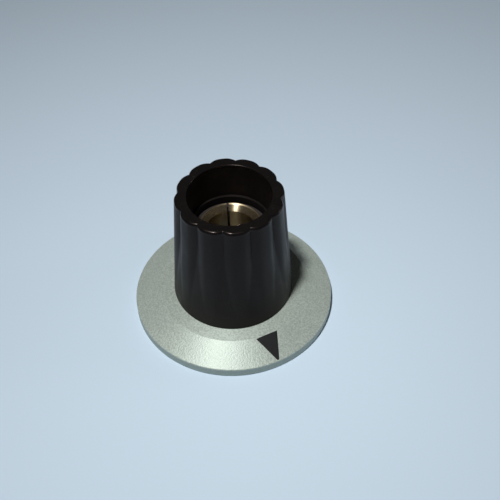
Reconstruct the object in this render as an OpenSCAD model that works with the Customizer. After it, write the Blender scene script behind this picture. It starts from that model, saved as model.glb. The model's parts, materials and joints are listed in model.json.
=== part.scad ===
// Collet control knob with a fluted grip and a conical dial skirt.
// The knob stands on its skirt: z = 0 is the panel, the shaft comes up along Z, and the pointer faces -Y.
// The press-in top cap is absent, so the well is open and the split collet shows in it.

/* [Skirt] */
// Diameter of the dial skirt
skirt_d = 25; // [22:0.5:32]
// Height of the skirt's upright outer edge
rim_h = 1.2; // [0.8:0.1:1.6]
// Height of the skirt's flat top above the panel
skirt_h = 2.6; // [2.4:0.1:4]
// Diameter where the cone meets the flat top
shoulder_d = 18.5; // [16.5:0.5:20]
// Thickness of the skirt's wall
skirt_wall = 0.9; // [0.6:0.1:1.1]
// Radius on the edge between the cone and the upright edge
skirt_edge_r = 0.15; // [0.1:0.05:0.4]

/* [Pointer] */
// Width of the pointer across its inner end
pointer_w = 2.75; // [1.5:0.05:3.5]
// Distance from the pointer's inner end to the edge of the flat top
pointer_inset = 0.05; // [0:0.05:0.5]
// Distance from the pointer's tip to the rounded edge of the skirt
pointer_margin = 0.06; // [0.06:0.02:1]
// Radius of the pointer's tip
pointer_tip_r = 0.16; // [0.1:0.02:0.3]
// Depth of the recess that holds the pointer's black fill
pointer_depth = 0.15; // [0.1:0.05:0.3]

/* [Grip] */
// Height of the fluted grip above the skirt
grip_h = 15.5; // [14:0.1:20]
// Diameter of the grip's round foot
grip_foot_d = 15; // [14:0.1:16]
// Diameter over the flutes at the top
grip_top_d = 12.65; // [12.2:0.05:13.6]
// Number of convex flutes
flute_count = 12; // [8:1:16]
// Depth of the notches between the flutes at the top
flute_depth = 0.4; // [0.2:0.02:0.6]
// Height that the taper takes off the flutes' crests, which leaves each a narrow land
flute_land = 0.05; // [0.02:0.01:0.1]
// Depth of the grip's core below the notches at the top
core_drop = 0.25; // [0.1:0.05:0.4]
// Height above the foot at which the notches run out
flute_run_out = 1.6; // [0.8:0.2:4]
// Turn of a notch from the pointer, seen from above
flute_turn = -2.6; // [-15:0.2:15]
// Radius on the outside of the top rim
rim_r = 0.35; // [0.2:0.05:0.5]

/* [Well] */
// Diameter of the open well that a cap would press into
well_d = 9.8; // [9.6:0.1:10.2]
// Depth of the well down to the cap's ledge
well_depth = 4.85; // [3.6:0.05:5]
// Radius on the mouth of the well
mouth_r = 0.12; // [0.06:0.02:0.4]
// Diameter of the nut chamber below the ledge
chamber_d = 9.3; // [9.2:0.05:9.4]
// Depth of the nut chamber's floor below the rim
chamber_depth = 8.5; // [8:0.1:9]

/* [Collet] */
// Diameter of the shaft that the collet grips
shaft_d = 6; // [5:0.05:6.4]
// Diameter of the collet's threaded neck
neck_d = 7.6; // [7.4:0.05:7.8]
// Depth of the collet's top below the rim
collet_drop = 5.1; // [5:0.1:5.6]
// Diameter of the collet's cone at its lower end
cone_d = 9.8; // [9.2:0.1:10.4]
// Length of the cone
cone_h = 4.6; // [3.6:0.1:5]
// Height of the collet's lower end above the panel
collet_foot = 1.2; // [0.8:0.1:1.4]
// Width of the slits
slit_w = 0.3; // [0.2:0.05:0.6]
// Number of slits, of which the first runs the whole length
slit_count = 3; // [2:1:4]
// Length at the top that the other slits leave whole
slit_tie = 4.4; // [3:0.2:6]
// Turn of the full slit from the pointer, seen from above
slit_turn = 160.4; // [0:0.2:360]
// Chamfer at both ends of the collet's bore
bore_chamfer = 0.65; // [0.1:0.05:0.7]
// Chamfer on the outside of the neck's top
neck_chamfer = 0.05; // [0.05:0.05:0.35]

/* [Nut] */
// Height of the round nut
nut_h = 2.7; // [2:0.1:3]
// Width of the driver slot across the nut
nut_slot_w = 1.2; // [0.8:0.1:1.6]
// Depth of the driver slot
nut_slot_depth = 0.8; // [0.5:0.1:1.2]
// Turn of the driver slot from the pointer, seen from above
nut_turn = 62; // [0:1:180]

/* [Seats] */
// Diameter of the spigot that carries the skirt
spigot_d = 12; // [11.8:0.1:12.6]
// Length of the spigot below the skirt's hub
spigot_proud = 0.2; // [0:0.05:0.4]
// Radial gap between pieces that sit in one another
seat_gap = 0.03; // [0.02:0.01:0.06]

/* [Hidden] */
$fn = 96;

// Overshoot of a cut past the face that it opens
over = 1;

// Steps of a rounded edge
arc_steps = 6;

// Heights above the panel
top_z = skirt_h + grip_h;
ledge_z = top_z - well_depth;
chamber_z = top_z - chamber_depth;
collet_z = top_z - collet_drop;
cone_z = collet_foot + cone_h;
hub_z = skirt_h - skirt_wall;
spigot_z = hub_z - spigot_proud;

// Radii
skirt_r = skirt_d / 2;
shoulder_r = shoulder_d / 2;
foot_r = grip_foot_d / 2;
crest_r = grip_top_d / 2;
well_r = well_d / 2;
chamber_r = chamber_d / 2;
shaft_r = shaft_d / 2;
neck_r = neck_d / 2;
cone_r = cone_d / 2;
spigot_r = spigot_d / 2;

// Slope of the skirt's cone, as height lost for each unit of radius
skirt_slope = (skirt_h - rim_h) / (skirt_r - shoulder_r);
skirt_angle = atan(skirt_slope);

// Outer end of the cone, where the rounded edge starts
cone_end_r = skirt_r - skirt_edge_r * (1 - sin(skirt_angle));

// Taper of the grip, from its foot to its top
grip_draft = atan((foot_r - crest_r) / grip_h);

// Flutes: rods of radius lobe_r on the pitch circle lobe_c meet in notches of the wanted depth at the top
rod_crest_r = crest_r + flute_land;
notch_r = crest_r - flute_depth;
half_pitch = 180 / flute_count;
lobe_c = (rod_crest_r ^ 2 - notch_r ^ 2) / (2 * (rod_crest_r - notch_r * cos(half_pitch)));
lobe_r = rod_crest_r - lobe_c;

// The core lies below the notches at the top and meets the grip's surface at the run-out
core_top_r = notch_r - core_drop;
run_out_r = foot_r - flute_run_out * tan(grip_draft);
core_slope = (run_out_r - core_top_r) / (grip_h - flute_run_out);

// Points along an arc round a centre, from one angle to another
function arc(centre, r, start, end) = [
    for (i = [0 : arc_steps])
        let (a = start + (end - start) * i / arc_steps)
        centre + r * [cos(a), sin(a)]
];

// Solid that the grip is trimmed to: a tapered plug with a rounded top edge
module grip_envelope() {
    arc_x = crest_r + rim_r * tan(grip_draft) - rim_r / cos(grip_draft);
    rotate_extrude()
    polygon(concat(
        [[0, skirt_h], [foot_r, skirt_h]],
        arc([arc_x, top_z - rim_r], rim_r, grip_draft, 90),
        [[0, top_z]]
    ));
}

// Tapered core that fills the notches towards the foot
module grip_core() {
    translate([0, 0, skirt_h - over])
    cylinder(r1 = core_top_r + (grip_h + over) * core_slope, r2 = core_top_r - over * core_slope,
             h = grip_h + 2 * over);
}

// One flute: a rod that leans with the grip's taper
module flute() {
    rod_h = grip_h / cos(grip_draft) + 2 * over;
    translate([lobe_c, 0, top_z])
    rotate([0, -grip_draft, 0])
    translate([0, 0, over - rod_h])
    cylinder(r = lobe_r, h = rod_h);
}

// Core and flutes, trimmed to the tapered plug
module fluted_grip() {
    intersection() {
        grip_envelope();
        union() {
            grip_core();
            for (i = [0 : flute_count - 1])
                rotate([0, 0, flute_turn - 90 + (2 * i + 1) * half_pitch]) flute();
        }
    }
}

// Well, ledge, nut chamber, neck hole and cone seat, cut in one turn
module body_bore() {
    neck_hole_r = neck_r + seat_gap;
    cone_hole_r = cone_r + seat_gap;
    cone_grow = (cone_r - neck_r) / cone_h;
    low_z = spigot_z - over;
    low_r = cone_hole_r - (low_z - collet_foot) * cone_grow;
    rotate_extrude()
    polygon(concat(
        [
            [0, low_z],
            [low_r, low_z],
            [neck_hole_r, cone_z],
            [neck_hole_r, chamber_z],
            [chamber_r, chamber_z],
            [chamber_r, ledge_z],
            [well_r, ledge_z]
        ],
        arc([well_r + mouth_r, top_z - mouth_r], mouth_r, 180, 90),
        [[well_r + mouth_r, top_z + over], [0, top_z + over]]
    ));
}

// Moulded body with the grip above the skirt and the spigot through it
module knob_body() {
    color([0.06, 0.06, 0.065])
    difference() {
        union() {
            fluted_grip();
            translate([0, 0, spigot_z]) cylinder(r = spigot_r, h = skirt_h - spigot_z + over);
        }
        body_bore();
    }
}

// One slit of the collet, from its lower end up to the given height
module collet_slit(high_z) {
    translate([0, -slit_w / 2, collet_foot - over])
    cube([cone_r + over, slit_w, high_z - collet_foot + over]);
}

// Split brass collet: threaded neck up, gripping cone down
module collet() {
    color([0.72, 0.6, 0.32])
    difference() {
        rotate_extrude()
        polygon([
            [shaft_r + bore_chamfer, collet_foot],
            [cone_r, collet_foot],
            [neck_r, cone_z],
            [neck_r, collet_z - neck_chamfer],
            [neck_r - neck_chamfer, collet_z],
            [shaft_r + bore_chamfer, collet_z],
            [shaft_r, collet_z - bore_chamfer],
            [shaft_r, collet_foot + bore_chamfer]
        ]);
        rotate([0, 0, slit_turn - 90]) collet_slit(collet_z + over);
        for (i = [1 : slit_count - 1])
            rotate([0, 0, slit_turn - 90 + i * 360 / slit_count]) collet_slit(collet_z - slit_tie);
    }
}

// Round slotted nut, blackened, that draws the collet up into its seat
module collet_nut() {
    nut_r = chamber_r - 2 * seat_gap;
    nut_z = chamber_z + nut_h;
    color([0.09, 0.09, 0.095])
    difference() {
        translate([0, 0, chamber_z]) cylinder(r = nut_r, h = nut_h);
        translate([0, 0, chamber_z - over]) cylinder(r = neck_r + seat_gap, h = nut_h + 2 * over);
        rotate([0, 0, nut_turn - 90])
        translate([-nut_r - over, -nut_slot_w / 2, nut_z - nut_slot_depth])
        cube([2 * (nut_r + over), nut_slot_w, nut_slot_depth + over]);
    }
}

// Triangle of the pointer in plan, its tip towards -Y, grown outward by the given amount
module pointer_plan(grow) {
    half_w = pointer_w / 2;
    base_y = -(shoulder_r + pointer_inset);
    tip_c = -(cone_end_r - pointer_margin - pointer_tip_r);
    tip_r = pointer_tip_r + grow;
    // The sides run from the inner corners as tangents of the rounded tip
    reach = base_y - tip_c;
    half_angle = atan(half_w / reach) - asin(pointer_tip_r / norm([half_w, reach]));
    base_x = tip_r / cos(half_angle) + (reach + grow) * tan(half_angle);
    polygon(concat(
        arc([0, tip_c], tip_r, 180 + half_angle, 360 - half_angle),
        [[base_x, base_y + grow], [-base_x, base_y + grow]]
    ));
}

// Cone of the skirt's slope through the shoulder, lowered by the given depth
module skirt_cone(drop) {
    low_r = skirt_r + over;
    low_z = skirt_h - drop - (low_r - shoulder_r) * skirt_slope;
    translate([0, 0, low_z])
    cylinder(r1 = low_r, r2 = shoulder_r, h = skirt_h - drop - low_z);
}

// Recess for the pointer: its plan, down to a floor that follows the cone
module pointer_recess() {
    difference() {
        translate([0, 0, rim_h - pointer_depth]) linear_extrude(skirt_h) pointer_plan(seat_gap);
        skirt_cone(pointer_depth);
    }
}

// Half section of the skirt: upright edge, cone, flat top and hub hole, hollow below
module skirt_section() {
    hub_r = spigot_r + seat_gap;
    // Height of the arc's centre on the edge between the cone and the upright edge
    arc_z = rim_h + skirt_edge_r * (tan(skirt_angle) - 1 / cos(skirt_angle));
    // The underside keeps the wall's thickness below the cone
    inner_r = skirt_r - skirt_wall;
    under_shoulder_r = shoulder_r - skirt_wall * tan(skirt_angle / 2);
    under_rim_z = hub_z - (inner_r - under_shoulder_r) * skirt_slope;
    polygon(concat(
        [[hub_r, hub_z], [under_shoulder_r, hub_z], [inner_r, under_rim_z], [inner_r, 0], [skirt_r, 0]],
        arc([skirt_r - skirt_edge_r, arc_z], skirt_edge_r, 0, 90 - skirt_angle),
        [[shoulder_r, skirt_h], [hub_r, skirt_h]]
    ));
}

// Turned metal skirt with the pointer's recess
module dial_skirt() {
    color([0.6, 0.61, 0.58])
    difference() {
        rotate_extrude() skirt_section();
        pointer_recess();
    }
}

// Black fill of the pointer, flush with the cone
module pointer_mark() {
    color([0.03, 0.03, 0.03])
    intersection() {
        difference() {
            translate([0, 0, rim_h - pointer_depth]) linear_extrude(skirt_h) pointer_plan(0);
            skirt_cone(pointer_depth);
        }
        skirt_cone(0);
    }
}

knob_body();
collet();
collet_nut();
dial_skirt();
pointer_mark();
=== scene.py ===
# Control knob: a fluted black grip on a satin metal dial skirt, with a split brass collet in its open well.
import json
import math

import bpy
import numpy as np
from mathutils import Matrix, Vector


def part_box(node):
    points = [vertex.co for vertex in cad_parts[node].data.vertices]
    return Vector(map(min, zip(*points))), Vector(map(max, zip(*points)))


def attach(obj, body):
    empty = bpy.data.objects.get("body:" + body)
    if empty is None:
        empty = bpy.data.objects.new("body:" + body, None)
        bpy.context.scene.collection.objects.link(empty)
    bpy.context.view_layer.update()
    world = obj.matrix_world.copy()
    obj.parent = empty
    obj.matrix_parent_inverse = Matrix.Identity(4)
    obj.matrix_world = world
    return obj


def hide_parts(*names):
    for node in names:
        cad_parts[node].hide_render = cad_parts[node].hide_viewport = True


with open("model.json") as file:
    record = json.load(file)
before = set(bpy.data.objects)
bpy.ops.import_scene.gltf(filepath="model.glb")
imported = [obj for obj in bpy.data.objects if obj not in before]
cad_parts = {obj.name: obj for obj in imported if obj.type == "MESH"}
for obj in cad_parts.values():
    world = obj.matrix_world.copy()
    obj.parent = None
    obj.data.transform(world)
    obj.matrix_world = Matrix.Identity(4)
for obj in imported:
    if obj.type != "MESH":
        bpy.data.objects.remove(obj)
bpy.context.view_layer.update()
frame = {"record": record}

# Every length below is in millimetres, and MM brings it to Blender's metres
MM = 0.001
TURN = 2 * math.pi


def box_mm(node):
    """Lowest and highest corner of a CAD node, in mm."""
    low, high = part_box(node)
    return np.array(low) / MM, np.array(high) / MM


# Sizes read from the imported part
body_low, body_high = box_mm("knob_body")
collet_low, collet_high = box_mm("collet")
nut_low, nut_high = box_mm("collet_nut")
_, skirt_high = box_mm("dial_skirt")
mark_low, mark_high = box_mm("pointer_mark")
mount_dims = {mount["name"]: mount["dims"] for mount in frame["record"]["mounts"]}

TOP_Z = body_high[2]
SPIGOT_Z = body_low[2]
FOOT_R = body_high[0]
SKIRT_R = skirt_high[0]
SKIRT_H = skirt_high[2]
WELL_R = mount_dims["cap_well"]["r_mm"]
SHAFT_R = mount_dims["shaft_clamp"]["r_mm"]
COLLET_Z = collet_high[2]
COLLET_FOOT = collet_low[2]
CONE_R = collet_high[0]
CHAMBER_Z = nut_low[2]
NUT_Z = nut_high[2]
NUT_R = nut_high[0]
POINTER_HALF_W = mark_high[0]
POINTER_BASE = -mark_high[1]
POINTER_TIP = -mark_low[1]

# Sizes of the grip that the boxes don't give
GRIP_TOP_R = 6.325
FLUTES = 12
FLUTE_DEPTH = 0.4
FLUTE_LAND = 0.05
CORE_DROP = 0.25
FLUTE_RUN_OUT = 1.6
FLUTE_TURN = math.radians(-2.6)
RIM_FILLET = 0.35
FOOT_FILLET = 0.12
# Width over which the moulded creases of the flutes are blended
FLUTE_BLEND = 0.05

# Sizes inside the body, and of its spigot
MOUTH_FILLET = 0.12
LEDGE_Z = TOP_Z - MOUTH_FILLET - mount_dims["cap_well"]["length_mm"]
CHAMBER_R = 4.65
NECK_R = 3.8
CONE_H = 4.6
CONE_Z = COLLET_FOOT + CONE_H
LEDGE_FILLET = 0.03
SPIGOT_R = 6.0
SPIGOT_FILLET = 0.15
SPIGOT_ROOT_FILLET = 0.06
SEAT_GAP = 0.03
# Fillets of small edges on the body and the skirt, and of the corners inside them
EDGE_FILLET = 0.08
INNER_FILLET = 0.1

# Sizes of the collet and its nut
SLITS = 3
SLIT_W = 0.3
SLIT_TIE = 4.4
SLIT_TURN = math.radians(70.4)
BORE_CHAMFER = 0.65
NECK_CHAMFER = 0.05
NUT_SLOT_W = 1.2
NUT_SLOT_DEPTH = 0.8
NUT_TURN = math.radians(-28)
THREAD_PITCH = 0.75
THREAD_DEPTH = 0.28
# Steepness of the thread's flanks: above 1, it leaves flats at crest and root
THREAD_FLANK = 1.35
# Plain neck between the cone and the thread, and the lengths over which the thread starts and runs out
THREAD_GAP = 0.3
THREAD_START = 0.8
THREAD_RUN_OUT = 0.3
NUT_THREAD_RUN_OUT = 0.2
# Bevel on the turned edges, and the flatter one on the mouth of the collet's bore
EDGE = 0.06
LIP = 0.045
# How far in from its edges each flat end of the collet and the nut has its last row of vertices
COLLET_FOOT_INSET = 0.3
COLLET_TOP_INSET = 0.01
NUT_END_INSET = 0.2

# Sizes of the skirt and its pointer
RIM_H = 1.2
SHOULDER_R = 9.25
SKIRT_WALL = 0.9
SKIRT_EDGE_R = 0.15
SHOULDER_FILLET = 0.07
POINTER_TIP_R = 0.16
POINTER_DEPTH = 0.15
# How far the paint lies below the cone, its border below the rest, and its underside above the floor
PAINT_SUNK = 0.004
PAINT_BORDER_DROP = 0.02
PAINT_FLOOR_GAP = 0.006
POINTER_ANGLE = -TURN / 4
SKIRT_SLOPE = (SKIRT_H - RIM_H) / (SKIRT_R - SHOULDER_R)

# Fineness of the meshes
FLUTE_COLUMNS = 36
GRIP_COLUMNS = FLUTES * FLUTE_COLUMNS
SKIRT_COLUMNS = 480
POINTER_COLUMNS = 16
POINTER_TIP_ROWS = 8
POINTER_SIDE_ROWS = 40
LONGEST_STEP = 0.45
SUPPORT_STEP = 0.05
ARC_STEP = math.radians(15)
SHARP_ANGLE = math.radians(38)


# Mesh helpers


class MeshDraft:
    """Vertices and faces of a piece while it is being built, in mm."""

    def __init__(self):
        self.points = []
        self.faces = []

    def grid(self, points):
        """Adds an array of points, rows x columns x 3, and returns their numbers."""
        shape = points.shape[:2]
        start = len(self.points)
        self.points.extend(points.reshape(-1, 3).tolist())
        return np.arange(start, start + shape[0] * shape[1]).reshape(shape)

    def skin(self, index, keep=None, flip=False):
        """Covers a grid of vertex numbers with quads, where keep allows it."""
        corners = [index[:-1, :-1], index[:-1, 1:], index[1:, 1:], index[1:, :-1]]
        quads = np.stack(corners, axis=-1)
        quads = quads.reshape(-1, 4) if keep is None else quads[keep]
        self.add(quads, flip)

    def walls(self, front, back, solid, closed=False, flip=False):
        """Joins two sheets of a grid along every edge between a solid cell and an empty one."""
        side_fill = dict(mode="wrap") if closed else dict(constant_values=False)
        rows = np.pad(solid, ((1, 1), (0, 0)), constant_values=False)
        columns = np.pad(solid, ((0, 0), (1, 1)), **side_fill)
        edges = (
            (solid & ~rows[:-2], (0, 1), (0, 0)),
            (solid & ~rows[2:], (1, 0), (1, 1)),
            (solid & ~columns[:, :-2], (0, 0), (1, 0)),
            (solid & ~columns[:, 2:], (1, 1), (0, 1)),
        )
        for cells, first, second in edges:
            i, c = np.nonzero(cells)
            one = (i + first[0], c + first[1])
            two = (i + second[0], c + second[1])
            self.add(np.stack([front[one], front[two], back[two], back[one]], axis=-1), flip)

    def add(self, quads, flip=False):
        """Adds quads, turned over if flip says so."""
        self.faces.extend((quads[:, ::-1] if flip else quads).tolist())


def wrapped(index, rows=False):
    """A grid of vertex numbers closed round its columns, and round its rows too if asked."""
    return np.pad(index, ((0, int(rows)), (0, 1)), mode="wrap")


def turned(radius, angle, z):
    """Points at the given radii, angles and heights."""
    radius, angle, z = np.broadcast_arrays(radius, angle, z)
    return np.stack([radius * np.cos(angle), radius * np.sin(angle), z], axis=-1)


def straight_run(start, end):
    """Points between two ends of a section, close to each end and then evenly spread."""
    length = np.linalg.norm(end - start)
    if length < 3 * SUPPORT_STEP:
        return []
    inner = length - 2 * SUPPORT_STEP
    count = max(1, math.ceil(inner / LONGEST_STEP))
    places = SUPPORT_STEP + inner * np.arange(count + 1) / count
    return [start + (end - start) * place / length for place in places]


def rounded_section(corners):
    """Points round a closed section, from corners given as (radius, height, fillet)."""
    spots = [np.array(corner[:2]) for corner in corners]
    arcs = []
    for i, (_, _, fillet) in enumerate(corners):
        here = spots[i]
        back = spots[i - 1] - here
        ahead = spots[(i + 1) % len(spots)] - here
        back /= np.linalg.norm(back)
        ahead /= np.linalg.norm(ahead)
        bend = math.pi - math.acos(np.clip(back @ ahead, -1, 1))
        if not fillet:
            arcs.append([here])
            continue
        reach = fillet * math.tan(bend / 2)
        middle = (back + ahead) / np.linalg.norm(back + ahead)
        centre = here + middle * fillet / math.cos(bend / 2)
        first = here + back * reach - centre
        last = here + ahead * reach - centre
        count = max(2, math.ceil(bend / ARC_STEP))
        shares = np.arange(count + 1) / count
        weights = [(math.sin((1 - s) * bend), math.sin(s * bend)) for s in shares]
        arcs.append([centre + (a * first + b * last) / math.sin(bend) for a, b in weights])
    section = []
    for i, arc in enumerate(arcs):
        section += arc
        section += straight_run(arc[-1], arcs[(i + 1) % len(arcs)][0])
    return np.array(section)


def station_rows(stations):
    """Rows of (outer radius, outer height, inner radius, inner height).

    A station has the same four values, and then the count of rows that lead up to it.
    """
    rows = [stations[0][:4]]
    for before, after in zip(stations, stations[1:]):
        count = after[4]
        for k in range(1, count + 1):
            rows.append([a + (b - a) * k / count for a, b in zip(before[:4], after[:4])])
    return np.array(rows)


def make_piece(name, draft, node, material):
    """Turns a draft into a smooth piece that stands for a CAD node."""
    mesh = bpy.data.meshes.new(name)
    mesh.from_pydata((np.array(draft.points) * MM).tolist(), [], draft.faces)
    mesh.shade_smooth()
    mesh.set_sharp_from_angle(angle=SHARP_ANGLE)
    mesh.materials.append(material)
    piece = bpy.data.objects.new(name, mesh)
    bpy.context.collection.objects.link(piece)
    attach(piece, "root")
    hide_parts(node)


# Grip


def soft_max(a, b):
    """The larger of two radii, with the crease between them blended."""
    return (a + b + np.hypot(a - b, FLUTE_BLEND)) / 2


def flute_dent(angle, z):
    """How far the fluted surface lies inside the grip's plain taper."""
    draft = (FOOT_R - GRIP_TOP_R) / (TOP_Z - SKIRT_H)
    below = TOP_Z - z
    taper = GRIP_TOP_R + below * draft
    # Leaning rods that meet in notches of the wanted depth at the top
    half_pitch = math.pi / FLUTES
    rod_crest = GRIP_TOP_R + FLUTE_LAND
    notch = GRIP_TOP_R - FLUTE_DEPTH
    rod_ring = (rod_crest**2 - notch**2) / (2 * (rod_crest - notch * math.cos(half_pitch)))
    rod_r = rod_crest - rod_ring
    ring = rod_ring + below * draft
    folded = (angle - FLUTE_TURN - POINTER_ANGLE) % (2 * half_pitch) - half_pitch
    rods = ring * np.cos(folded) + np.sqrt(rod_r**2 - (ring * np.sin(folded)) ** 2)
    # The core fills the notches towards the foot
    core_top = notch - CORE_DROP
    run_out = FOOT_R - FLUTE_RUN_OUT * draft
    core = core_top + below * (run_out - core_top) / (TOP_Z - SKIRT_H - FLUTE_RUN_OUT)
    return taper + soft_max(-taper, -soft_max(core, rods))


def make_body(material):
    """Moulded body: spigot, fluted grip, rim, well, ledge, nut chamber, neck hole and cone seat."""
    cone_grow = (CONE_R - NECK_R) / CONE_H
    neck_hole_r = NECK_R + SEAT_GAP
    seat_r = CONE_R + SEAT_GAP - (SPIGOT_Z - COLLET_FOOT) * cone_grow
    section = rounded_section([
        (seat_r, SPIGOT_Z, EDGE_FILLET),
        (SPIGOT_R, SPIGOT_Z, SPIGOT_FILLET),
        (SPIGOT_R, SKIRT_H, SPIGOT_ROOT_FILLET),
        (FOOT_R, SKIRT_H, FOOT_FILLET),
        (GRIP_TOP_R, TOP_Z, RIM_FILLET),
        (WELL_R, TOP_Z, MOUTH_FILLET),
        (WELL_R, LEDGE_Z, LEDGE_FILLET),
        (CHAMBER_R, LEDGE_Z, LEDGE_FILLET),
        (CHAMBER_R, CHAMBER_Z, INNER_FILLET),
        (neck_hole_r, CHAMBER_Z, EDGE_FILLET),
        (neck_hole_r, CONE_Z, INNER_FILLET),
    ])
    radius, z = section[:, :1], section[:, 1:]
    angle = FLUTE_TURN + POINTER_ANGLE + TURN * np.arange(GRIP_COLUMNS) / GRIP_COLUMNS
    # The flutes shape the wall and the rim's edge, and die away across the rim's flat
    share = np.interp(radius, [WELL_R + MOUTH_FILLET, GRIP_TOP_R - RIM_FILLET], [0, 1])
    fluted = radius - share * flute_dent(angle, z)
    draft = MeshDraft()
    index = draft.grid(turned(fluted, angle, z))
    draft.skin(wrapped(index, rows=True))
    make_piece("grip_body", draft, "knob_body", material)


# Collet and nut


def thread_dent(angle, z):
    """Depth of the screw thread's groove below its crest."""
    phase = (z / THREAD_PITCH - angle / TURN) % 1
    flank = 1 - np.abs(2 * phase - 1)
    return THREAD_DEPTH * np.clip(THREAD_FLANK * flank - (THREAD_FLANK - 1) / 2, 0, 1)


def cut_ring(draft, rows, cuts, cut_w, cut_cells, sector_cells, strip_cells, outer_thread, inner_thread):
    """A ring with evenly spaced cuts across its wall.

    cut_cells gives the first and last row of cells that each cut takes, and the two thread
    arguments give the share of the thread's depth for each row.
    """
    pitch = TURN / len(cuts)
    across = np.linspace(-1, 1, strip_cells + 1)
    along = np.arange(1, sector_cells) / sector_cells
    # A column lies at its base angle plus its share of the cut's half angle
    base = np.concatenate([np.concatenate([cut + 0 * across, cut + along * pitch]) for cut in cuts])
    share = np.tile(np.concatenate([across, 1 - 2 * along]), len(cuts))
    solid = np.ones((len(rows) - 1, len(base)), bool)
    for k, (first, last) in enumerate(cut_cells):
        start = k * (strip_cells + sector_cells)
        solid[first:last, start:start + strip_cells] = False
    outer_side = (rows[:, :1], rows[:, 1:2], outer_thread)
    inner_side = (rows[:, 2:3], rows[:, 3:], inner_thread)
    sheets = []
    for radius, z, thread in (outer_side, inner_side):
        angle = base + share * np.arcsin(cut_w / 2 / radius)
        radius = radius - thread[:, None] * thread_dent(angle, z)
        sheets.append(wrapped(draft.grid(turned(radius, angle, z))))
    outer, inner = sheets
    draft.skin(outer, solid)
    draft.skin(inner, solid, flip=True)
    draft.walls(outer, inner, solid, closed=True)


def make_collet(material):
    """Split brass collet with a threaded neck, a gripping cone and chamfered ends."""
    grow = (CONE_R - NECK_R) / CONE_H
    low_chamfer_z = COLLET_FOOT + BORE_CHAMFER
    high_chamfer_z = COLLET_Z - BORE_CHAMFER
    neck_z = COLLET_Z - NECK_CHAMFER
    slit_z = COLLET_Z - SLIT_TIE
    mouth_r = SHAFT_R + BORE_CHAMFER
    lip_r = mouth_r + LIP
    brow_r = NECK_R - NECK_CHAMFER
    rows = station_rows([
        (CONE_R - COLLET_FOOT_INSET, COLLET_FOOT, mouth_r + COLLET_FOOT_INSET, COLLET_FOOT, 0),
        (CONE_R - EDGE, COLLET_FOOT, mouth_r + EDGE, COLLET_FOOT, 1),
        (CONE_R - EDGE * grow, COLLET_FOOT + EDGE, mouth_r - EDGE, COLLET_FOOT + EDGE, 1),
        (CONE_R - BORE_CHAMFER * grow, low_chamfer_z, SHAFT_R, low_chamfer_z, 3),
        (CONE_R - (BORE_CHAMFER + EDGE) * grow, low_chamfer_z + EDGE, SHAFT_R, low_chamfer_z + EDGE, 1),
        (NECK_R, CONE_Z, SHAFT_R, CONE_Z, 12),
        (NECK_R, slit_z, SHAFT_R, slit_z, 32),
        (NECK_R, high_chamfer_z - EDGE, SHAFT_R, high_chamfer_z - EDGE, 44),
        (NECK_R, high_chamfer_z, SHAFT_R, high_chamfer_z, 1),
        (NECK_R, neck_z, mouth_r - NECK_CHAMFER, neck_z, 10),
        (brow_r, COLLET_Z, lip_r, COLLET_Z, 1),
        (brow_r - COLLET_TOP_INSET, COLLET_Z, lip_r + COLLET_TOP_INSET, COLLET_Z, 1),
    ])
    z = rows[:, 1]
    # The thread runs out above the cone and below the chamfer at the top
    start_z = CONE_Z + THREAD_GAP
    ends = [start_z, start_z + THREAD_START, neck_z - THREAD_RUN_OUT, neck_z]
    thread = np.interp(z, ends, [0, 1, 1, 0])
    cells = len(rows) - 1
    slit_cell = int(np.argmin(np.abs(z - slit_z)))
    slits = [SLIT_TURN + k * TURN / SLITS for k in range(SLITS)]
    # The first slit runs the whole length and the others stop at the tie
    cut_cells = [(0, cells)] + [(0, slit_cell)] * (SLITS - 1)
    draft = MeshDraft()
    cut_ring(
        draft, rows, slits, SLIT_W, cut_cells,
        sector_cells=64, strip_cells=1, outer_thread=thread, inner_thread=0 * thread,
    )
    make_piece("brass_collet", draft, "collet", material)


def make_nut(material):
    """Round blackened nut with a threaded bore and a driver slot across its top."""
    bore_r = NECK_R + SEAT_GAP
    floor_z = NUT_Z - NUT_SLOT_DEPTH
    rows = station_rows([
        (NUT_R - NUT_END_INSET, CHAMBER_Z, bore_r + NUT_END_INSET, CHAMBER_Z, 0),
        (NUT_R - EDGE, CHAMBER_Z, bore_r + EDGE, CHAMBER_Z, 1),
        (NUT_R, CHAMBER_Z + EDGE, bore_r, CHAMBER_Z + EDGE, 1),
        (NUT_R, floor_z, bore_r, floor_z, 20),
        (NUT_R, NUT_Z - EDGE, bore_r, NUT_Z - EDGE, 8),
        (NUT_R - EDGE, NUT_Z, bore_r + EDGE, NUT_Z, 1),
        (NUT_R - NUT_END_INSET, NUT_Z, bore_r + NUT_END_INSET, NUT_Z, 1),
    ])
    z = rows[:, 1]
    ends = [CHAMBER_Z, CHAMBER_Z + NUT_THREAD_RUN_OUT, NUT_Z - NUT_THREAD_RUN_OUT, NUT_Z]
    thread = np.interp(z, ends, [0, 1, 1, 0])
    cells = len(rows) - 1
    floor_cell = int(np.argmin(np.abs(z - floor_z)))
    slots = [NUT_TURN, NUT_TURN + TURN / 2]
    cut_cells = [(floor_cell, cells)] * len(slots)
    draft = MeshDraft()
    cut_ring(
        draft, rows, slots, NUT_SLOT_W, cut_cells,
        sector_cells=88, strip_cells=10, outer_thread=0 * thread, inner_thread=thread,
    )
    make_piece("black_nut", draft, "collet_nut", material)


# Skirt and pointer


def pointer_half_width(reach, grow):
    """Half the pointer's width at a distance from the axis, with its outline grown by some amount."""
    tip_centre = POINTER_TIP - POINTER_TIP_R
    length = tip_centre - POINTER_BASE
    tip_lean = math.asin(POINTER_TIP_R / math.hypot(POINTER_HALF_W, length))
    lean = math.atan(POINTER_HALF_W / length) - tip_lean
    tip_r = POINTER_TIP_R + grow
    side = tip_r / math.cos(lean) + (tip_centre - reach) * math.tan(lean)
    cap = np.sqrt(np.clip(tip_r**2 - (reach - tip_centre) ** 2, 0, None))
    return np.where(reach < tip_centre + tip_r * math.sin(lean), side, cap)


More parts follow.
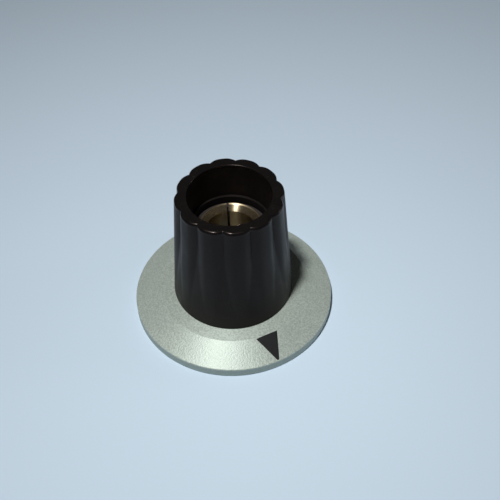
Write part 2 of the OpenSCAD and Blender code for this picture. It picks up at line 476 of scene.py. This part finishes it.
def cone_z(radius):
    """Height of the skirt's cone at a radius."""
    return SKIRT_H - (radius - SHOULDER_R) * SKIRT_SLOPE


def skirt_section(tip, tip_round, base):
    """Section of the skirt, with rows of its cone at the ends of the pointer."""
    slope_angle = math.atan(SKIRT_SLOPE)
    hub_r = SPIGOT_R + SEAT_GAP
    hub_z = SKIRT_H - SKIRT_WALL
    inner_r = SKIRT_R - SKIRT_WALL
    under_shoulder_r = SHOULDER_R - SKIRT_WALL * math.tan(slope_angle / 2)
    under_rim_z = hub_z - (inner_r - under_shoulder_r) * SKIRT_SLOPE
    return rounded_section([
        (SKIRT_R, 0, EDGE_FILLET),
        (SKIRT_R, RIM_H, SKIRT_EDGE_R),
        (tip, cone_z(tip), 0),
        (tip_round, cone_z(tip_round), 0),
        (base, cone_z(base), 0),
        (SHOULDER_R, SKIRT_H, SHOULDER_FILLET),
        (hub_r, SKIRT_H, EDGE_FILLET),
        (hub_r, hub_z, EDGE_FILLET),
        (under_shoulder_r, hub_z, INNER_FILLET),
        (inner_r, under_rim_z, INNER_FILLET),
        (inner_r, 0, EDGE_FILLET),
    ])


def make_skirt(material):
    """Turned skirt: upright edge, cone, narrow flat top, hollow underside and the pointer's recess."""
    # The recess ends where its rounded tip is still this wide to each side
    tip_half_w = 0.04
    tip_r = POINTER_TIP_R + SEAT_GAP
    tip = POINTER_TIP - POINTER_TIP_R + math.sqrt(tip_r**2 - tip_half_w**2)
    base = POINTER_BASE - SEAT_GAP
    section = skirt_section(tip, POINTER_TIP - POINTER_TIP_R, base)
    row_r, row_z = section[:, :1], section[:, 1:]
    tip_row, base_row = (int(np.argmin(np.hypot(row_r - r, row_z - cone_z(r)))) for r in (tip, base))
    marked = np.zeros_like(row_r)
    marked[tip_row:base_row + 1] = 1
    half_w = pointer_half_width(np.clip(row_r, base, tip), SEAT_GAP)
    half_angle = np.arctan(half_w / np.clip(row_r, base, tip))
    # Columns: first across the pointer, then the rest of the way round
    across = np.linspace(-1, 1, POINTER_COLUMNS + 1)
    along = np.arange(1, SKIRT_COLUMNS) / SKIRT_COLUMNS
    strip = np.arctan(across * np.tan(half_angle))
    rest = half_angle + along * (TURN - 2 * half_angle)
    angle = np.concatenate([strip, rest], axis=1)
    # Rows straighten across the pointer, so that its inner end is a straight line
    fade_angle = math.radians(9)
    aside = np.abs((angle + math.pi) % TURN - math.pi)
    fade = np.clip(1 - (aside - half_angle) / fade_angle, 0, 1)
    straight = 1 / np.cos(np.minimum(aside, half_angle)) - 1
    radius = row_r * (1 + marked * fade * straight)
    z = row_z - marked * (radius - row_r) * SKIRT_SLOPE
    draft = MeshDraft()
    surface = draft.grid(turned(radius, angle + POINTER_ANGLE, z))
    whole = wrapped(surface, rows=True)
    keep = np.ones((len(section), angle.shape[1]), bool)
    keep[tip_row:base_row, :POINTER_COLUMNS] = False
    draft.skin(whole, keep)
    marked_rows = slice(tip_row, base_row + 1)
    rim = surface[marked_rows, :POINTER_COLUMNS + 1]
    low_points = turned(radius, angle + POINTER_ANGLE, z - POINTER_DEPTH)
    floor = draft.grid(low_points[marked_rows, :POINTER_COLUMNS + 1])
    draft.skin(floor)
    draft.walls(rim, floor, np.ones(np.subtract(rim.shape, 1), bool), flip=True)
    make_piece("skirt_shell", draft, "dial_skirt", material)


def make_pointer(material):
    """Black fill of the pointer's recess, almost flush with the cone and lowered along its border."""
    # The paint ends a little more bluntly than its outline, this wide to each side
    tip_half_w = 0.03
    tip = POINTER_TIP - POINTER_TIP_R + math.sqrt(POINTER_TIP_R**2 - tip_half_w**2)
    tip_rows = np.linspace(tip, POINTER_TIP - POINTER_TIP_R, POINTER_TIP_ROWS)
    side_rows = np.linspace(tip_rows[-1], POINTER_BASE, POINTER_SIDE_ROWS)
    reach = np.concatenate([tip_rows, side_rows[1:]])[:, None]
    across = np.linspace(-1, 1, POINTER_COLUMNS + 1)
    x = across * pointer_half_width(reach, 0)
    y = -reach + 0 * x
    top = cone_z(np.hypot(x, y)) - PAINT_SUNK
    border = np.ones_like(top, bool)
    border[1:-1, 1:-1] = False
    bottom = top - POINTER_DEPTH + PAINT_SUNK + PAINT_FLOOR_GAP
    draft = MeshDraft()
    front = draft.grid(np.stack([x, y, top - PAINT_BORDER_DROP * border], axis=-1))
    back = draft.grid(np.stack([x, y, bottom], axis=-1))
    draft.skin(front)
    draft.skin(back, flip=True)
    draft.walls(front, back, np.ones(np.subtract(front.shape, 1), bool))
    make_piece("pointer_paint", draft, "pointer_mark", material)


# Materials


class Shader:
    """A material with its node tree, and short ways to add and link nodes."""

    def __init__(self, name):
        self.material = bpy.data.materials.new(name)
        self.material.use_nodes = True
        self.tree = self.material.node_tree
        self.surface = self.tree.nodes["Principled BSDF"]
        self.coords = self.add("ShaderNodeTexCoord").outputs["Object"]

    def add(self, kind, inputs=None, **settings):
        """Adds a node; an input takes a socket to link or a value to set."""
        node = self.tree.nodes.new(kind)
        for key, value in settings.items():
            setattr(node, key, value)
        for key, value in (inputs or {}).items():
            self.feed(node.inputs[key], value)
        return node

    def feed(self, socket, value):
        """Links a socket to an input, or sets its value."""
        if isinstance(value, bpy.types.NodeSocket):
            self.tree.links.new(value, socket)
        else:
            socket.default_value = value

    def set(self, **inputs):
        """Sets inputs of the surface; an underscore in a name stands for a space."""
        for key, value in inputs.items():
            self.feed(self.surface.inputs[key.replace("_", " ")], value)

    def noise(self, size_mm, detail=2.0, roughness=0.5, stretch=(1, 1, 1)):
        """Noise whose lumps are about size_mm across; stretch lengthens them along an axis."""
        shrink = tuple(1 / s for s in stretch)
        spread = self.add("ShaderNodeMapping", {"Vector": self.coords, "Scale": shrink})
        inputs = {
            "Vector": spread.outputs["Vector"],
            "Scale": 1 / (size_mm * MM),
            "Detail": detail,
            "Roughness": roughness,
        }
        return self.add("ShaderNodeTexNoise", inputs).outputs["Fac"]

    def remap(self, value, low, high, to_low, to_high):
        """Maps a range of values to another, held at both ends."""
        inputs = {"Value": value, "From Min": low, "From Max": high, "To Min": to_low, "To Max": to_high}
        return self.add("ShaderNodeMapRange", inputs).outputs["Result"]

    def blend(self, share, first, second):
        """Mixes two colours."""
        mix = self.add("ShaderNodeMix", data_type="RGBA")
        # The node's colour sockets share their names with others, so they go by number
        self.feed(mix.inputs[0], share)
        self.feed(mix.inputs[6], first)
        self.feed(mix.inputs[7], second)
        return mix.outputs[2]

    def math(self, operation, first, second):
        """Arithmetic on two values."""
        node = self.add("ShaderNodeMath", {0: first, 1: second}, operation=operation)
        return node.outputs[0]

    def round_axis(self):
        """Direction round the turning axis, which the turning marks follow."""
        return self.add("ShaderNodeTangent", direction_type="RADIAL", axis="Z").outputs["Tangent"]

    def height(self):
        """Height above the panel, in mm."""
        z = self.add("ShaderNodeSeparateXYZ", {"Vector": self.coords}).outputs["Z"]
        return self.math("DIVIDE", z, MM)

    def bump(self, height, depth_mm, strength, under=None):
        """Relief of a given depth, on top of another if given."""
        inputs = {"Height": height, "Distance": depth_mm * MM, "Strength": strength}
        if under is not None:
            inputs["Normal"] = under
        return self.add("ShaderNodeBump", inputs).outputs["Normal"]


def black_plastic():
    """Moulded black plastic: fine grain, uneven satin, specks of dust, and a rim polished by handling."""
    shader = Shader("black_plastic")
    grain = shader.noise(0.09, detail=3, roughness=0.6)
    handling = shader.noise(1.6, detail=4, roughness=0.6, stretch=(1, 1, 3))
    dust = shader.remap(shader.noise(0.16, detail=1), 0.68, 0.78, 0, 1)
    plain = shader.blend(handling, (0.0052, 0.0044, 0.0045, 1), (0.0088, 0.0075, 0.0077, 1))
    height = shader.height()
    rim_band = (TOP_Z - 0.6, TOP_Z - 0.3)
    polish = shader.remap(height, *rim_band, 0, 0.2)
    relief = shader.remap(height, *rim_band, 0.35, 0.12)
    shader.set(
        Base_Color=shader.blend(shader.math("MULTIPLY", dust, 0.12), plain, (0.16, 0.155, 0.15, 1)),
        Specular_IOR_Level=0.17,
        Specular_Tint=(1.0, 0.85, 0.81, 1),
        Roughness=shader.math("SUBTRACT", shader.remap(handling, 0.3, 0.7, 0.38, 0.5), polish),
        Normal=shader.bump(grain, 0.012, relief),
    )
    return shader.material


def turned_brass():
    """Turned brass: tool rings about 0.12 mm apart along the axis, under patches of tarnish, with painted
    shade below the bore's lead-in.
    """
    shader = Shader("turned_brass")
    rings = shader.add(
        "ShaderNodeTexWave",
        {"Vector": shader.coords, "Scale": 2600.0, "Distortion": 0.6, "Detail": 2.0},
        bands_direction="Z",
    ).outputs["Fac"]
    tarnish = shader.noise(1.1, detail=5, roughness=0.65)
    share = shader.remap(tarnish, 0.38, 0.7, 0, 1)
    grain = shader.noise(0.05, detail=2)
    # The collet is darkened below its bore's chamfered lead-in as painted shade down the bore, and the lip
    # is rubbed by shafts
    lead_in_z = COLLET_Z - BORE_CHAMFER
    bore_shade_band = (lead_in_z - 0.3, lead_in_z + 0.3)
    lip_band = (COLLET_Z - 0.08, COLLET_Z - 0.03)
    height = shader.height()
    clean = shader.blend(share, (0.72, 0.6, 0.4, 1), (0.54, 0.44, 0.28, 1))
    bore_shade = shader.remap(height, *bore_shade_band, 0.65, 0)
    rubbed = shader.remap(height, *lip_band, 0, 0.34)
    shader.set(
        # The base colour takes on painted shade below the lead-in
        Base_Color=shader.blend(bore_shade, clean, (0.3, 0.23, 0.145, 1)),
        Metallic=0.95,
        Roughness=shader.math("ADD", shader.remap(share, 0, 1, 0.2, 0.23), rubbed),
        Anisotropic=0.98,
        Anisotropic_Rotation=0.25,
        Tangent=shader.round_axis(),
        Normal=shader.bump(grain, 0.002, 0.1, under=shader.bump(rings, 0.002, 0.1)),
    )
    return shader.material


def black_steel():
    """Blackened steel: oiled oxide over fine tool marks, rubbed thin in patches."""
    shader = Shader("black_steel")
    rubbed = shader.remap(shader.noise(0.5, detail=4, roughness=0.7), 0.55, 0.75, 0, 0.5)
    grain = shader.noise(0.06, detail=2)
    shader.set(
        Base_Color=shader.blend(rubbed, (0.03, 0.026, 0.026, 1), (0.07, 0.063, 0.061, 1)),
        Specular_IOR_Level=0.35,
        Roughness=shader.remap(grain, 0.3, 0.7, 0.38, 0.55),
        Normal=shader.bump(grain, 0.008, 0.3),
    )
    return shader.material


def satin_aluminium():
    """Turned and blasted aluminium: pitted satin whose highlights spread across the turning marks."""
    shader = Shader("satin_aluminium")
    pits = shader.noise(0.19, detail=2, roughness=0.6)
    patches = shader.noise(2.2, detail=3)
    pale = shader.blend(patches, (0.475, 0.553, 0.506, 1), (0.54, 0.624, 0.578, 1))
    # The skirt is darkened below the top of its upright edge, as painted shade
    edge_band = (RIM_H - 0.25, RIM_H)
    edge = shader.remap(shader.height(), *edge_band, 0.5, 0)
    pale_with_edge_shade = shader.blend(edge, pale, (0.22, 0.26, 0.25, 1))
    shader.set(
        Base_Color=shader.blend(shader.remap(pits, 0.4, 0.6, 0.55, 0), pale_with_edge_shade, (0.3, 0.35, 0.315, 1)),
        Metallic=0.33,
        Roughness=shader.remap(pits, 0.3, 0.7, 0.45, 0.58),
        Anisotropic=0.54,
        Anisotropic_Rotation=0.25,
        Tangent=shader.round_axis(),
        Normal=shader.bump(pits, 0.035, 0.8),
    )
    return shader.material


def black_fill():
    """Flat black paint with a slight orange peel."""
    shader = Shader("black_fill")
    peel = shader.noise(0.22, detail=2)
    shader.set(
        Base_Color=shader.blend(peel, (0.005, 0.0058, 0.007, 1), (0.0095, 0.0105, 0.0125, 1)),
        Specular_IOR_Level=0.3,
        Roughness=shader.remap(peel, 0.3, 0.7, 0.65, 0.8),
        Normal=shader.bump(peel, 0.012, 0.3),
    )
    return shader.material


def pale_floor():
    """Plain pale blue-grey studio floor."""
    shader = Shader("pale_floor")
    shader.set(Base_Color=(0.6, 0.74, 0.88, 1), Roughness=0.9)
    return shader.material


# Stage


def make_floor(material):
    """Large plain floor under the skirt's edge."""
    half = 2000 * MM
    low = -0.01 * MM
    mesh = bpy.data.meshes.new("floor")
    corners = [(-half, -half, low), (half, -half, low), (half, half, low), (-half, half, low)]
    mesh.from_pydata(corners, [], [(0, 1, 2, 3)])
    mesh.materials.append(material)
    floor = bpy.data.objects.new("floor", mesh)
    bpy.context.collection.objects.link(floor)


def aimed(place, target, roll=0.0):
    """Pose of a camera or lamp that looks from one place to another, both in mm."""
    place, target = Vector(place) * MM, Vector(target) * MM
    look = (target - place).to_track_quat("-Z", "Y").to_matrix().to_4x4()
    return Matrix.Translation(place) @ look @ Matrix.Rotation(roll, 4, "Z")


def make_camera():
    """Camera that looks down on the knob from the front left."""
    data = bpy.data.cameras.new("camera")
    data.sensor_width = 36
    data.lens = 59.04
    data.clip_start = 1 * MM
    camera = bpy.data.objects.new("camera", data)
    place = (-26.887, -61.541, 82.785)
    target = (3.934, 3.121, 3.595)
    camera.matrix_world = aimed(place, target, roll=math.radians(-1.3))
    bpy.context.collection.objects.link(camera)
    bpy.context.scene.camera = camera


def make_lamp(name, place, target, size, watts, colour, beam):
    """Round area lamp whose light falls off towards the edge of its beam."""
    data = bpy.data.lights.new(name, "AREA")
    data.shape = "DISK"
    data.size = size * MM
    data.energy = watts
    data.spread = beam
    data.color = colour
    lamp = bpy.data.objects.new(name, data)
    lamp.matrix_world = aimed(place, target)
    bpy.context.collection.objects.link(lamp)


def make_light():
    """Soft key from above, slightly front left, a weak fill from the right, and a dim surround."""
    make_lamp(
        "key", place=(-71, -25, 293), target=(4, -10, 0), size=30,
        watts=0.114, colour=(1.0, 0.98, 0.95), beam=math.radians(70),
    )
    make_lamp(
        "fill", place=(370, -120, 62), target=(0, 0, 6), size=110,
        watts=0.0195, colour=(1.0, 0.97, 0.95), beam=math.radians(60),
    )
    world = bpy.data.worlds.new("surround")
    world.use_nodes = True
    background = world.node_tree.nodes["Background"]
    background.inputs["Color"].default_value = (0.95, 0.93, 0.92, 1)
    background.inputs["Strength"].default_value = 0.022
    bpy.context.scene.world = world
    bpy.context.scene.view_settings.view_transform = "Standard"


make_body(black_plastic())
make_collet(turned_brass())
make_nut(black_steel())
make_skirt(satin_aluminium())
make_pointer(black_fill())
make_floor(pale_floor())
make_camera()
make_light()
